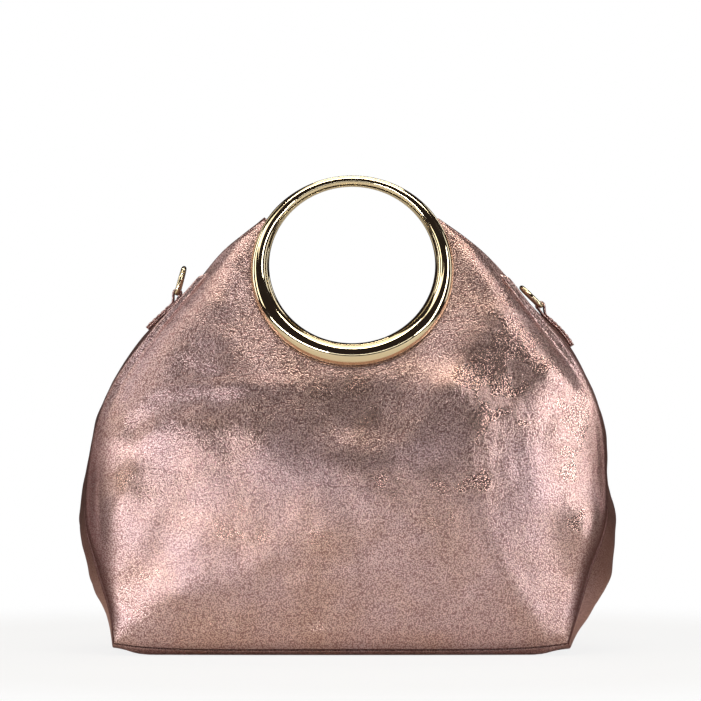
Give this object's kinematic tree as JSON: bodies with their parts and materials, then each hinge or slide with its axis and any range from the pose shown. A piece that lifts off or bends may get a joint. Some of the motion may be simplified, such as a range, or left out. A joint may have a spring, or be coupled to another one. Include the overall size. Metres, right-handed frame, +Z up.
{
  "type": "leather handbag",
  "caption": "Soft standing leather handbag, domed in front view, with a polished ring handle set in each panel, side gussets, a flat base and D-rings on the shoulders for a strap.",
  "frame": {"origin": "on the floor, under the middle of the bag's outline", "axes": "+Z up, +X to the right as seen from the front, the front faces -Y"},
  "size_m": [0.3237, 0.1348, 0.2863],
  "materials": {
    "leather": "soft grained leather with a satin metallic foil in rose",
    "gold_metal": "polished pale gold plating"
  },
  "bodies": {
    "bag": {"front_panel": "leather", "back_panel": "leather", "gusset_left": "leather", "gusset_right": "leather", "base_panel": "leather", "strap_tab_left": "leather", "strap_tab_right": "leather", "handle_ring_front": "gold_metal", "handle_ring_back": "gold_metal"},
    "d_ring_left": {"d_ring_left": "gold_metal"},
    "d_ring_right": {"d_ring_right": "gold_metal"}
  },
  "joints": [
    {"name": "d_ring_left_hinge", "type": "hinge", "parent": "bag", "child": "d_ring_left", "pos_m": [-0.10287, 0, 0.21547], "axis": [0, -1, 0], "range_deg": [-23, 143]},
    {"name": "d_ring_right_hinge", "type": "hinge", "parent": "bag", "child": "d_ring_right", "pos_m": [0.11651, 0, 0.20789], "axis": [0, 1, 0], "range_deg": [0, 168]}
  ]
}
